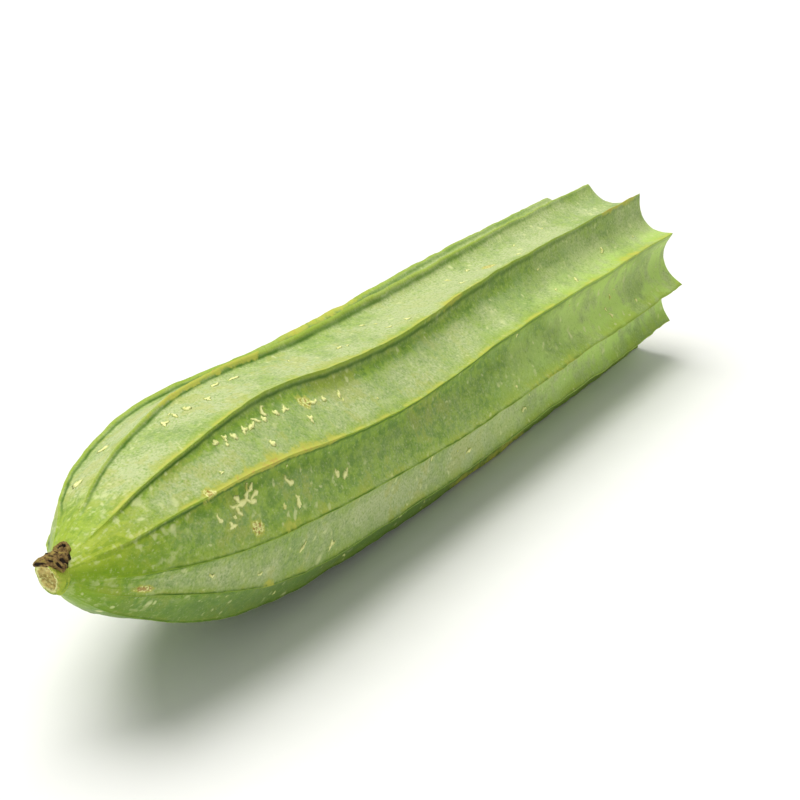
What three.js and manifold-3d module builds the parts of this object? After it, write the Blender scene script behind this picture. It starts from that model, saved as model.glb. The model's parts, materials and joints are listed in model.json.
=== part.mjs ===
// Ridge gourd, lying on its side: the stem end points to -X and the cut end to +X.
// Millimetres and degrees, +Z up, resting on z = 0.
import * as THREE from 'three';
import Module from 'manifold-3d';

// ---- Driving dimensions ----
const BODY_LENGTH = 290;
const RIDGE_TIP_RADIUS = 30;

// The dome at the stem end: how much of the length it takes, and how blunt it is.
const DOME_SHARE = 0.3;
const DOME_POWER = 0.64;
// The slight narrowing towards the cut end, as a share of the radius.
const TAPER = 0.055;
const TAPER_START = 0.55;

// The stem end curves up off the table and a little to the side.
const LIFT = 17;
const LIFT_SHARE = 0.57;
const HOOK = 12;
const HOOK_SHARE = 0.31;
// The last few centimetres turn back a little, so the stub stands off centre.
const BEAK_REACH = 2.4;
const BEAK_SIDE = 3.1;
const BEAK_RISE = 0.7;
const BEAK_SHARE = 0.06;

// Ridges, counted round from the first one. Turns are measured from straight up
// towards -Y. Each ridge has its own small turn from the even pitch, and its own reach.
const FIRST_RIDGE_TURN = -55;
const TWIST = 4;
const RIDGES = [
  { turn: 3, reach: 1.04 },
  { turn: 0, reach: 0.98 },
  { turn: 2, reach: 1.01 },
  { turn: 0, reach: 0.99 },
  { turn: 0, reach: 0.99 },
  { turn: -8, reach: 1.0 },
  { turn: -12, reach: 1.04 },
  { turn: -1, reach: 0.96 },
  { turn: -1, reach: 1.0 },
  { turn: 0, reach: 0.99 },
];
// Depth of the hollow between two ridges, as a share of the radius.
const HOLLOW_AT_STEM = 0.05;
const HOLLOW_AT_CUT = 0.2;
// Share of the length over which ridges and hollows fade in from the round seat.
const RIDGE_FADE = 0.06;
// The two ridges under the gourd stand this far, in turn, from straight down.
const RESTING_TURN = 24;

// The stub of the stem and its dried scrap.
const SEAT_RADIUS = 4.2;
const STUB_RADIUS = 3.8;
const STUB_FLARE = 0.3;
const STUB_LENGTH = 2;
const STUB_SLANT = 20;
const STUB_SLANT_TURN = 194;
// Half sizes of the scrap: along the stub, across it, and out from it.
const SCRAP_LENGTH = 4.4;
const SCRAP_WIDTH = 2.8;
const SCRAP_HEIGHT = 1.9;
const SCRAP_RAISE = 1.3;
const SCRAP_TURN = -8;
const SCRAP_PITCH = 15;

// Clear space left between two pieces that touch.
const GAP = 0.3;

// ---- Mesh density ----
const STATIONS = 44;
const STATION_CROWDING = 1.6;
const STEPS_PER_HOLLOW = 6;
const STUB_SIDES = 20;
const STUB_RINGS = 5;
const SCRAP_SIDES = 16;

const RIDGE_PITCH = 360 / RIDGES.length;
const rad = THREE.MathUtils.degToRad;
const UP = new THREE.Vector3(0, 0, 1);

// ---- Shape of the gourd ----

// Runs from 1 at the stem end to 0 at the given share of the length.
function fadeOut(share, end) {
  return Math.max(1 - share / end, 0);
}

// Radius of the straight body at a share of the length, before the dome rounds it off.
function bodyRadius(share) {
  const along = Math.max((share - TAPER_START) / (1 - TAPER_START), 0);
  return RIDGE_TIP_RADIUS * (1 - TAPER * along ** 2);
}

function tipRadius(share) {
  const dome = (1 - fadeOut(share, DOME_SHARE) ** 2) ** DOME_POWER;
  return Math.max(bodyRadius(share) * dome, SEAT_RADIUS);
}

// The middle line. Its height follows the radius, so the two lower ridges lie level.
function axisPoint(share) {
  const beak = fadeOut(share, BEAK_SHARE) ** 2;
  const side = BEAK_SIDE * beak - HOOK * fadeOut(share, HOOK_SHARE) ** 2;
  const rise = BEAK_RISE * beak + LIFT * fadeOut(share, LIFT_SHARE) ** 2;
  const rest = bodyRadius(share) * Math.cos(rad(RESTING_TURN));
  return new THREE.Vector3(BODY_LENGTH * share - BEAK_REACH * beak, side, rest + rise);
}

// Directions at a share of the length: along the gourd, across it, and up from it.
// They follow the lift, the hook and the beak.
function axisFrame(share) {
  const beak = (2 * fadeOut(share, BEAK_SHARE)) / BEAK_SHARE;
  const hook = (2 * fadeOut(share, HOOK_SHARE)) / HOOK_SHARE;
  const lift = (2 * fadeOut(share, LIFT_SHARE)) / LIFT_SHARE;
  const ahead = BODY_LENGTH + BEAK_REACH * beak;
  const side = HOOK * hook - BEAK_SIDE * beak;
  const along = new THREE.Vector3(ahead, side, -LIFT * lift - BEAK_RISE * beak).normalize();
  const across = new THREE.Vector3().crossVectors(UP, along).normalize();
  const above = new THREE.Vector3().crossVectors(along, across);
  return { along, across, above };
}

// Unit vector out from the axis at a turn from straight up.
function outward(frame, turn) {
  const up = frame.above.clone().multiplyScalar(Math.cos(rad(turn)));
  return up.addScaledVector(frame.across, -Math.sin(rad(turn)));
}

function ridgeTurn(index) {
  return FIRST_RIDGE_TURN + RIDGE_PITCH * index + RIDGES[index % RIDGES.length].turn;
}

// One point of the skin, part of the way from one ridge to the next.
function skinPoint(share, index, part, clearance) {
  const frame = axisFrame(share);
  const formed = THREE.MathUtils.smoothstep(share, 0, RIDGE_FADE);
  const next = (index + 1) % RIDGES.length;
  const reach = THREE.MathUtils.lerp(RIDGES[index].reach, RIDGES[next].reach, part);
  const depth = THREE.MathUtils.lerp(HOLLOW_AT_STEM, HOLLOW_AT_CUT, share);
  const hollow = depth * 4 * part * (1 - part);
  const scale = 1 + (reach - 1 - hollow) * formed;
  const turn = THREE.MathUtils.lerp(ridgeTurn(index), ridgeTurn(index + 1), part);
  const radius = tipRadius(share) * scale + clearance;
  return axisPoint(share).addScaledVector(outward(frame, turn + TWIST * share), radius);
}

function gourdRing(share, clearance) {
  const ring = [];
  for (let index = 0; index < RIDGES.length; index++) {
    for (let step = 0; step < STEPS_PER_HOLLOW; step++) {
      ring.push(skinPoint(share, index, step / STEPS_PER_HOLLOW, clearance));
    }
  }
  return ring;
}

// ---- Building solids from rings ----

function middleOf(ring) {
  const middle = new THREE.Vector3();
  ring.forEach((point) => middle.add(point));
  return middle.divideScalar(ring.length);
}

// A closed solid through rings of equal length, with a flat fan at each end.
function loft(rings) {
  const sides = rings[0].length;
  const points = rings.flat();
  const index = [];
  for (let i = 0; i + 1 < rings.length; i++) {
    for (let j = 0; j < sides; j++) {
      const a = i * sides + j;
      const b = i * sides + ((j + 1) % sides);
      index.push(a, b, a + sides);
      index.push(b, b + sides, a + sides);
    }
  }
  const first = points.length;
  points.push(middleOf(rings[0]), middleOf(rings[rings.length - 1]));
  const lastRing = (rings.length - 1) * sides;
  for (let j = 0; j < sides; j++) {
    const k = (j + 1) % sides;
    index.push(first, k, j);
    index.push(first + 1, lastRing + j, lastRing + k);
  }
  const geometry = new THREE.BufferGeometry().setFromPoints(points);
  geometry.setIndex(index);
  return geometry;
}

// ---- The pieces ----

// The whole fruit. With a clearance it is the same shape, grown by that much.
function gourdGeometry(clearance = 0) {
  const rings = [];
  for (let i = 0; i <= STATIONS; i++) {
    rings.push(gourdRing((i / STATIONS) ** STATION_CROWDING, clearance));
  }
  if (clearance > 0) {
    const back = axisFrame(0).along.multiplyScalar(-clearance);
    rings.unshift(rings[0].map((point) => point.clone().add(back)));
  }
  return loft(rings);
}

// The stub of the stem: it flares a little at its seat and ends in a slanting cut.
function stubGeometry(clearance = 0) {
  const frame = axisFrame(0);
  const seat = axisPoint(0).addScaledVector(frame.along, -GAP);
  const rings = [];
  for (let i = STUB_RINGS; i >= 0; i--) {
    const share = i / STUB_RINGS;
    const radius = STUB_RADIUS + STUB_FLARE * (1 - share) ** 2 + clearance;
    const ring = [];
    for (let j = 0; j < STUB_SIDES; j++) {
      const turn = (360 * j) / STUB_SIDES;
      const slant = Math.cos(rad(turn - STUB_SLANT_TURN)) * Math.tan(rad(STUB_SLANT));
      const sunk = 3 * clearance * (1 - share);
      const reach = share * (STUB_LENGTH + clearance - radius * slant) - sunk;
      const point = seat.clone().addScaledVector(outward(frame, turn), radius);
      ring.push(point.addScaledVector(frame.along, -reach));
    }
    rings.push(ring);
  }
  return loft(rings);
}

// A dried scrap of flower base, in the corner between the stub and the dome.
function scrapGeometry(wasm) {
  const frame = axisFrame(0);
  const centre = axisPoint(0).addScaledVector(outward(frame, SCRAP_TURN), SEAT_RADIUS + SCRAP_RAISE);
  const scrap = new THREE.SphereGeometry(1, SCRAP_SIDES, SCRAP_SIDES / 2);
  const placing = new THREE.Matrix4().makeBasis(frame.along, frame.across, frame.above);
  scrap.scale(SCRAP_LENGTH, SCRAP_WIDTH, SCRAP_HEIGHT);
  scrap.rotateY(-rad(SCRAP_PITCH));
  scrap.applyMatrix4(placing);
  scrap.translate(centre.x, centre.y, centre.z);
  const trimmed = solid(wasm, scrap)
    .subtract(solid(wasm, gourdGeometry(GAP)))
    .subtract(solid(wasm, stubGeometry(GAP)));
  return geometryOf(trimmed);
}

// ---- Adding and subtracting ----

function weld(geometry) {
  const places = new Map();
  const points = [];
  const source = geometry.getAttribute('position');
  const order = [];
  for (let i = 0; i < source.count; i++) {
    const point = new THREE.Vector3().fromBufferAttribute(source, i);
    const key = point.toArray().map((value) => Math.round(value * 1e4)).join();
    if (!places.has(key)) {
      places.set(key, points.length);
      points.push(point);
    }
    order.push(places.get(key));
  }
  const index = Array.from(geometry.getIndex().array, (value) => order[value]);
  return { points, index };
}

function solid(wasm, geometry) {
  const { points, index } = weld(geometry);
  const triVerts = [];
  for (let i = 0; i < index.length; i += 3) {
    const [a, b, c] = index.slice(i, i + 3);
    if (a !== b && b !== c && c !== a) triVerts.push(a, b, c);
  }
  const mesh = new wasm.Mesh({
    numProp: 3,
    vertProperties: new Float32Array(points.flatMap((point) => point.toArray())),
    triVerts: new Uint32Array(triVerts),
  });
  return new wasm.Manifold(mesh);
}

function geometryOf(manifold) {
  const mesh = manifold.getMesh();
  const geometry = new THREE.BufferGeometry();
  geometry.setAttribute('position', new THREE.BufferAttribute(mesh.vertProperties, 3));
  geometry.setIndex(new THREE.BufferAttribute(mesh.triVerts, 1));
  return geometry;
}

// ---- Materials and assembly ----

function named(name, geometry, color, roughness) {
  geometry.computeVertexNormals();
  const material = new THREE.MeshStandardMaterial({ color, roughness, metalness: 0 });
  const mesh = new THREE.Mesh(geometry, material);
  mesh.name = name;
  return mesh;
}

// Moves every piece so that the whole box stands centred on the origin, on z = 0.
function settle(group) {
  const box = new THREE.Box3().setFromObject(group);
  const middle = box.getCenter(new THREE.Vector3());
  for (const mesh of group.children) {
    mesh.geometry.translate(-middle.x, -middle.y, -box.min.z);
  }
}

const wasm = await Module();
wasm.setup();

const group = new THREE.Group();
group.name = 'ridge_gourd';
group.add(named('gourd_body', gourdGeometry(), 0x7fa04c, 0.5));
group.add(named('stem_stub', stubGeometry(), 0xb9ac5e, 0.75));
group.add(named('withered_calyx', scrapGeometry(wasm), 0x6e4f2a, 0.9));
settle(group);

export default group;
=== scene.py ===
"""Ridge gourd, lying on its side and cut off square at its far end.

Lengths are in metres and turns in degrees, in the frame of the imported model: +X runs
from the stem end to the cut end, and +Z is up. A share is a place along the gourd, from
0 at the stem end to 1 at the cut. A turn is measured from straight up towards -Y.
"""

import json
import math
import random

import bmesh
import bpy
from bpy.props import FloatProperty, FloatVectorProperty, IntProperty, PointerProperty
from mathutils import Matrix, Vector, noise

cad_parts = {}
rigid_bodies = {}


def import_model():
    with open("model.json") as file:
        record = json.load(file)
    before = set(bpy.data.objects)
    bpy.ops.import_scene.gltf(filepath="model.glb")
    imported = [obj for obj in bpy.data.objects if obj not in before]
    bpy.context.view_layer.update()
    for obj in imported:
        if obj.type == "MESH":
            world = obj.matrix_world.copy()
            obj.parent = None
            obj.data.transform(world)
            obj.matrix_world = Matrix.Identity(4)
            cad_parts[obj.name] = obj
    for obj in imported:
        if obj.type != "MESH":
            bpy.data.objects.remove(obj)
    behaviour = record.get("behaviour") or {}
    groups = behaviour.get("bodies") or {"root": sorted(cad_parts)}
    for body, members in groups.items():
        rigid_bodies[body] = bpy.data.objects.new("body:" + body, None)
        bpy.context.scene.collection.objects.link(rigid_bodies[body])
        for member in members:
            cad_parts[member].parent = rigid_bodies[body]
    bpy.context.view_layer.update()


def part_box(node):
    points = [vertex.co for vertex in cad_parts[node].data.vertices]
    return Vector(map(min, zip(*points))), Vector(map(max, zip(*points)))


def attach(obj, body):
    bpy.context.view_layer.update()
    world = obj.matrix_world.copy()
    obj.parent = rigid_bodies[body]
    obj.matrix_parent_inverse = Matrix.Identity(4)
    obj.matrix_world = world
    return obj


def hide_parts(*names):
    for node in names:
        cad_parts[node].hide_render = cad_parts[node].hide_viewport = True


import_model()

bl_info = {
    "name": "Ridge Gourd",
    "version": (1, 0, 0),
    "blender": (4, 5, 0),
    "location": "View3D > Sidebar > Ridge Gourd",
    "description": "Builds a ridge gourd with its rind, scars, stub and cut face",
    "category": "Add Mesh",
}

SEED = 11
MM = 0.001
FULL_TURN = 360.0
BODY = "root"

# Each ridge's own small turn from the even pitch, in degrees, and its own reach.
RIDGES = (
    (3, 1.04),
    (0, 0.98),
    (2, 1.01),
    (0, 0.99),
    (0, 0.99),
    (-8, 1.0),
    (-12, 1.04),
    (-1, 0.96),
    (-1, 1.0),
    (0, 0.99),
)
PITCH = FULL_TURN / len(RIDGES)

# How chalky the skin is in the hollow past each ridge.
CHALK = (1.05, 1.06, 0.84, 0.36, 1.0, 0.5, 0.4, 0.6, 0.85, 1.0)

# Stretches where a ridge bends down: ridge, share of the middle, half length, degrees.
BENDS = (
    (3, 0.38, 0.16, 5.5),
    (2, 0.44, 0.13, 5.0),
    (2, 0.13, 0.09, 3.5),
    (4, 0.12, 0.1, 4.5),
    (5, 0.22, 0.1, 6.0),
)

# Stretches where a crest is worn yellow: ridge, first share, last share, strength.
WORN_CRESTS = (
    (1, 0.16, 0.34, 0.8),
    (2, 0.9, 1.0, 1.0),
    (3, 0.11, 0.3, 1.0),
    (3, 0.86, 0.97, 0.6),
    (4, 0.17, 0.23, 0.45),
    (5, 0.175, 0.205, 0.9),
    (6, 0.55, 0.72, 0.7),
    (8, 0.3, 0.5, 0.9),
    (9, 0.6, 0.7, 0.8),
    (0, 0.44, 0.62, 0.7),
    (2, 0.52, 0.6, 0.7),
    (4, 0.6, 0.78, 0.4),
)

# Corky spots: share, ridge, part of the way to the next ridge, radius in millimetres.
CORK_SPOTS = (
    (0.293, 2, 0.31, 2.6),
    (0.046, 4, 0.68, 2.6),
    (0.16, 3, 0.77, 2.4),
    (0.115, 2, 0.95, 2.2),
    (0.52, 8, 0.4, 3.0),
    (0.7, 1, 0.6, 2.4),
    (0.81, 5, 0.5, 2.8),
)

# Scars with a place of their own, by ridge: share, part of the way to the next ridge, kind,
# size, spin in degrees.
PLACED_SCARS = {
    3: (
        (0.155, 0.29, 4, 1.15, 20), (0.219, 0.27, 2, 1.2, 80), (0.222, 0.64, 0, 1.0, 100),
        (0.199, 0.64, 1, 0.9, 30), (0.133, 0.58, 3, 0.8, 150), (0.287, 0.5, 1, 1.3, 60),
        (0.3, 0.62, 0, 1.2, 25),
    ),
    2: (
        (0.163, 0.21, 1, 1.1, 140), (0.17, 0.33, 1, 0.7, 20), (0.185, 0.28, 1, 1.3, 75),
        (0.212, 0.29, 0, 1.1, 15), (0.23, 0.3, 1, 1.1, 45), (0.238, 0.2, 2, 1.2, 10),
        (0.248, 0.27, 1, 1.2, 90), (0.216, 0.71, 1, 1.2, 35), (0.279, 0.58, 3, 0.8, 60),
        (0.3, 0.36, 0, 1.1, 160), (0.174, 0.24, 3, 0.7, 60), (0.199, 0.3, 3, 0.8, 35),
        (0.222, 0.24, 0, 0.9, 130), (0.262, 0.3, 3, 0.8, 10), (0.32, 0.33, 1, 1.1, 20),
        (0.345, 0.36, 0, 1.0, 40),
    ),
    1: (
        (0.163, 0.29, 3, 0.9, 30), (0.193, 0.33, 1, 1.5, 25), (0.178, 0.3, 0, 0.9, 60),
        (0.255, 0.18, 0, 1.2, 5), (0.276, 0.24, 0, 1.3, 175),
    ),
    0: (
        (0.133, 0.42, 1, 2.1, 50), (0.079, 0.37, 1, 2.0, 10),
    ),
    4: (
        (0.285, 0.74, 3, 0.9, 40), (0.236, 0.54, 0, 1.1, 30), (0.11, 0.45, 2, 0.7, 90),
    ),
}

# One scar of each kind, as strokes of points in millimetres, in the plane of the skin.
SCAR_KINDS = (
    (((-1.6, -0.2), (-0.6, 0.1), (0.5, -0.1), (1.6, 0.3)),),
    (((-0.7, -0.4), (0.1, 0.2), (0.8, 0.5)), ((-0.5, 0.5), (0.0, 0.1), (0.6, -0.3))),
    (((-1.1, -0.9), (-1.2, 0.2), (-0.4, 1.0), (0.7, 1.1)),),
    (
        ((-1.8, -0.6), (-0.7, -0.1), (0.2, 0.1), (1.5, 1.1)),
        ((0.2, 0.1), (0.9, -0.6), (1.9, -0.8)),
    ),
    (
        ((-4.2, 2.2), (-3.0, 0.9), (-1.5, 0.1), (0.2, -0.4), (1.7, 0.4), (3.0, 1.9)),
        ((-3.0, 0.9), (-3.4, -0.5), (-3.1, -1.8)),
        ((-1.5, 0.1), (-1.4, 1.6), (-2.0, 2.6)),
        ((0.2, -0.4), (0.9, -1.8), (2.2, -2.6)),
        ((0.9, -1.8), (2.5, -1.3), (4.1, -1.7)),
        ((1.7, 0.4), (3.0, 0.2), (4.2, 0.8)),
    ),
)

# Seed hollows on the cut face: turn, distance from the middle in millimetres. Then their
# half sizes, away from the middle and round it, and how far their outlines waver.
SEED_HOLLOWS = ((38, 5.6), (93, 8.2), (155, 6.4), (203, 9.4), (235, 3.9), (313, 9.0), (346, 6.7))
SEED_HALF_LENGTH = 2.1
SEED_HALF_WIDTH = 1.05
SEED_WAVER = 2.4


# ---- Node trees as expressions ----


def operator(operation, swapped=False):
    """A Python operator that adds a maths node."""
    return lambda wire, other: wire.joined(operation, other, swapped)


def function(operation):
    """A method that adds a maths node."""
    return lambda wire, *others: wire.nodes.math(operation, wire, *others)


class Wire:
    """An output socket. In an expression it adds the node that the operator stands for."""

    def __init__(self, nodes, socket):
        self.nodes = nodes
        self.socket = socket

    def is_vector(self):
        return self.socket.type in {"VECTOR", "ROTATION"}

    def joined(self, operation, other, swapped):
        first, second = (other, self) if swapped else (self, other)
        if self.is_vector() or (isinstance(other, Wire) and other.is_vector()):
            return self.nodes.vector_math(operation, first, second)
        return self.nodes.math(operation, first, second)

    __add__, __radd__ = operator("ADD"), operator("ADD", swapped=True)
    __sub__, __rsub__ = operator("SUBTRACT"), operator("SUBTRACT", swapped=True)
    __truediv__, __pow__ = operator("DIVIDE"), operator("POWER")
    above, below = function("MAXIMUM"), function("MINIMUM")
    size, sine, cosine = function("ABSOLUTE"), function("SINE"), function("COSINE")

    def __mul__(self, other):
        scalar = not (isinstance(other, Wire) and other.is_vector())
        if self.is_vector() and scalar and not isinstance(other, tuple):
            return self.nodes.scaled(self, other)
        return self.joined("MULTIPLY", other, swapped=False)

    __rmul__ = __mul__

    def __neg__(self):
        return self * -1.0

    def bell(self):
        """1 where this is 0, falling off either side."""
        return self.nodes.math("EXPONENT", -(self * self))

    def rise(self, start, end):
        """0 before start and 1 past end, with a smooth step between them."""
        return self.nodes.step(self, start, end, 0.0, 1.0)

    def fall(self, start, end):
        """1 before start and 0 past end, with a smooth step between them."""
        return self.nodes.step(self, start, end, 1.0, 0.0)


class Nodes:
    """Adds nodes to one tree. Each goes through add, which sets it up and then links it."""

    def __init__(self, tree):
        self.tree = tree

    def add(self, kind, settings=None, sockets=None, output=0):
        node = self.tree.nodes.new(kind)
        for name, value in (settings or {}).items():
            setattr(node, name, value)
        for name, value in (sockets or {}).items():
            self.feed(node.inputs[name], value)
        return Wire(self, node.outputs[output])

    def feed(self, socket, value):
        if isinstance(value, Wire):
            self.tree.links.new(value.socket, socket)
        elif socket.type == "RGBA" and len(value) == 3:
            socket.default_value = (*value, 1.0)
        else:
            socket.default_value = value

    def math(self, operation, *values, kind="ShaderNodeMath"):
        return self.add(kind, {"operation": operation}, dict(enumerate(values)))

    def vector_math(self, operation, *values):
        return self.math(operation, *values, kind="ShaderNodeVectorMath")

    def scaled(self, vector, factor):
        sockets = {0: vector, "Scale": factor}
        return self.add("ShaderNodeVectorMath", {"operation": "SCALE"}, sockets)

    def vector(self, x, y, z):
        return self.add("ShaderNodeCombineXYZ", None, {"X": x, "Y": y, "Z": z})

    def part(self, vector, axis):
        return self.add("ShaderNodeSeparateXYZ", None, {0: vector}, output=axis)

    def step(self, value, start, end, low, high):
        """Low before start and high past end, with a smooth step between them."""
        sockets = {"Value": value, "From Min": start, "From Max": end, "To Min": low, "To Max": high}
        return self.add("ShaderNodeMapRange", {"interpolation_type": "SMOOTHSTEP"}, sockets)

    def mixed(self, factor, first, second):
        """Two colours mixed by a factor."""
        settings = {"data_type": "RGBA", "clamp_factor": True}
        sockets = {0: factor, 6: first, 7: second}
        return self.add("ShaderNodeMix", settings, sockets, output=2)

    def painted(self, colour, *layers):
        """A colour under layers, each a factor and the colour that it mixes in."""
        for factor, layer in layers:
            colour = self.mixed(factor, colour, layer)
        return colour

    def noise(self, vector, scale, detail=2.0, roughness=0.5, distortion=0.0):
        sockets = {
            "Vector": vector,
            "Scale": scale,
            "Detail": detail,
            "Roughness": roughness,
            "Distortion": distortion,
        }
        return self.add("ShaderNodeTexNoise", {"noise_dimensions": "3D"}, sockets)

    def cells(self, vector, scale):
        """Distance to the nearest of many scattered points."""
        return self.add("ShaderNodeTexVoronoi", {"feature": "F1"}, {"Vector": vector, "Scale": scale})

    def place(self):
        """The point being shaded, in the piece's own frame."""
        return self.add("ShaderNodeTexCoord", output="Object")


GREEN_GLOW = (0.6, 1.0, 0.25)
PALE_GLOW = (1.0, 1.0, 0.7)


def new_material(name, roughness, specular, coat=0.0, subsurface=0.0, glow=GREEN_GLOW):
    """A material with one Principled shader. What is the same all over is set on it here."""
    material = bpy.data.materials.new(name)
    material.use_nodes = True
    shader = material.node_tree.nodes["Principled BSDF"]
    shader.inputs["Roughness"].default_value = roughness
    shader.inputs["Specular IOR Level"].default_value = specular
    shader.inputs["Coat Weight"].default_value = coat
    shader.inputs["Coat Roughness"].default_value = 0.35
    shader.inputs["Subsurface Weight"].default_value = subsurface
    shader.inputs["Subsurface Radius"].default_value = glow
    shader.inputs["Subsurface Scale"].default_value = 3 * MM
    return material, shader, Nodes(material.node_tree)


def feed_shader(nodes, shader, colour, roughness, relief, depth):
    """Feeds what varies over a surface. The relief is too fine for the mesh."""
    nodes.feed(shader.inputs["Base Color"], colour)
    nodes.feed(shader.inputs["Roughness"], roughness)
    sockets = {"Height": relief, "Distance": depth, "Strength": 1.0}
    nodes.feed(shader.inputs["Normal"], nodes.add("ShaderNodeBump", None, sockets))


# ---- Sizes and colours a user would change ----


def number_property(name, description, default, unit="NONE"):
    return FloatProperty(name=name, description=description, default=default, unit=unit)


def degrees_property(name, description, default):
    return number_property(name, f"{description}, in degrees", default)


def length_property(name, description, millimetres):
    return number_property(name, description, millimetres * MM, "LENGTH")


def share_property(name, description, default):
    return FloatProperty(
        name=name, description=description, default=default, subtype="FACTOR", min=0.0, max=1.0
    )


def linear(hex_colour):
    """The linear colour of a six-figure screen colour."""
    values = [int(hex_colour[i : i + 2], 16) / 255 for i in (0, 2, 4)]
    return tuple(v / 12.92 if v <= 0.04045 else ((v + 0.055) / 1.055) ** 2.4 for v in values)


def colour_property(name, description, hex_colour):
    start = linear(hex_colour)
    return FloatVectorProperty(
        name=name, description=description, default=start, subtype="COLOR", size=3, min=0.0, max=1.0
    )


class GourdShape(bpy.types.PropertyGroup):
    """The rule that the gourd's body follows."""

    length: length_property("Length", "From the seat of the stem to the cut", 290)
    tip_radius: length_property("Ridge tip radius", "From the axis to a ridge tip", 30)
    dome_share: share_property("Dome share", "Part of the length that the stem end rounds", 0.3)
    dome_power: number_property("Dome power", "Lower is blunter", 0.64)
    taper: share_property("Taper", "How much the radius shrinks towards the cut", 0.055)
    taper_start: share_property("Taper start", "Where the taper begins", 0.55)
    lift: length_property("Lift", "How far the stem end curves up", 17)
    lift_share: share_property("Lift share", "Part of the length that lifts", 0.57)
    hook: length_property("Hook", "How far the stem end curves to the side", 12)
    hook_share: share_property("Hook share", "Part of the length that hooks", 0.31)
    beak_reach: length_property("Beak reach", "How far the last part is drawn out", 2.4)
    beak_side: length_property("Beak side", "How far the last part turns back", 3.1)
    beak_rise: length_property("Beak rise", "How far the last part rises", 0.7)
    beak_share: share_property("Beak share", "Part of the length in the beak", 0.06)
    first_turn: degrees_property("First ridge", "Turn of ridge 0", -55.0)
    twist: degrees_property("Twist", "Turn from end to end", 4.0)
    resting_turn: degrees_property("Resting turn", "Lower ridges' turn from straight down", 24.0)
    hollow_at_stem: share_property("Hollow at stem", "Depth between ridges, of the radius", 0.05)
    hollow_at_cut: share_property("Hollow at cut", "Depth between ridges, of the radius", 0.2)
    hollow_power: number_property("Hollow power", "Flatness of a hollow", 2.3)
    ridge_fade: share_property("Ridge fade", "Where the ridges come out of the seat", 0.06)
    seat_radius: length_property("Seat radius", "Radius of the stem's seat", 4.2)
    hollow_lean: share_property("Hollow lean", "How far a hollow leans to the ridge above", 0.4)
    welt_height: length_property("Welt height", "Height of the cord along each crest", 0.32)
    welt_width: length_property("Welt width", "Half width of the cord along each crest", 0.42)
    sway: degrees_property("Sway", "Side to side wander of a ridge", 1.5)
    swell: length_property("Swell", "Height of the slow swells of the skin", 0.8)
    pucker: length_property("Pucker", "Height of the fine puckers of the skin", 0.22)


class GourdColours(bpy.types.PropertyGroup):
    """Colours of the rind, the flesh, the stub and the scars."""

    deep: colour_property("Deep green", "Skin with no bloom on it", "648F1E")
    olive: colour_property("Olive", "Yellower patches of skin", "B3B440")
    mid: colour_property("Mid green", "Most of the skin", "90B330")
    sage: colour_property("Sage", "Chalky bloom on the panels", "BFCB92")
    blue: colour_property("Blue green", "Cooler patches of skin", "7AA44C")
    # Also a painted highlight: the thin line along each crest.
    lime: colour_property("Lime", "Bare skin beside the crests", "9FB82C")
    # Also a painted highlight: the pale edge over each crest.
    crest: colour_property("Crest", "Worn crest", "C3C452")
    tan: colour_property("Tan", "Corky rubs on the crests", "BFA452")
    # Painted shade: the deeper green laid on the underside.
    lee: colour_property("Underside", "Skin that lay in the shade", "57802A")
    # Painted shade: the dark line along each crest.
    line: colour_property("Line", "Dark line under a crest", "4B7212")
    dome: colour_property("Dome", "Bright skin round the stem", "B6C840")
    shade: colour_property("Dome flank", "Deeper skin beside the stem", "82A818")
    fleck: colour_property("Fleck", "Pale flecks in the skin", "D6DF9C")
    # Painted light: the paler green laid on the near side towards the cut.
    fresh: colour_property("Fresh green", "Skin towards the cut", "BEDE70")
    scar: colour_property("Scar", "Raised scars", "F8FBAA")
    cork: colour_property("Cork", "Corky spots", "A8803A")
    skin_edge: colour_property("Skin edge", "Rind seen on the cut", "3E6410")
    rind: colour_property("Inner rind", "Band under the rind", "B2D62A")
    cream: colour_property("Cream", "Between rind and flesh", "EEF2A0")
    flesh: colour_property("Flesh", "Middle of the cut face", "FAFDEC")
    seed: colour_property("Seed", "Seed hollows", "D9E6B0")
    pith: colour_property("Pith", "Fibres on the stub's cut", "DECB78")
    heart: colour_property("Heart", "Darker middle of the stub's cut", "A8974A")
    bark: colour_property("Bark", "Side of the stub", "A3B83A")
    crust: colour_property("Crust", "Dried scrap", "664F2A")
    husk: colour_property("Husk", "Paler parts of the scrap", "9C824E")
    pit: colour_property("Pit", "Dark pits of the scrap", "22180C")


class GourdScars(bpy.types.PropertyGroup):
    """The raised pale scars on the skin."""

    density: number_property("Density", "Scars per square metre", 2900.0)
    height: length_property("Height", "How far a scar stands out", 0.22)
    width: length_property("Width", "Half width of a scar's strokes", 0.7)
    smallest: number_property("Smallest", "Least size of a scar", 0.4)
    largest: number_property("Largest", "Greatest size of a scar", 1.05)
    seed: IntProperty(name="Seed", description="Seed of the scatter", default=SEED)


class GourdStub(bpy.types.PropertyGroup):
    """The stub of the stem and the dried scrap beside it."""

    length: length_property("Length", "From the seat to the middle of its cut", 2.1)
    radius: length_property("Radius", "Radius of the stub", 3.7)
    flare: length_property("Flare", "How much it widens at its seat", 0.6)
    slant: degrees_property("Slant", "Slope of its cut", 22.0)
    slant_turn: degrees_property("Slant turn", "Turn of its shortest side", 194.0)


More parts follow.
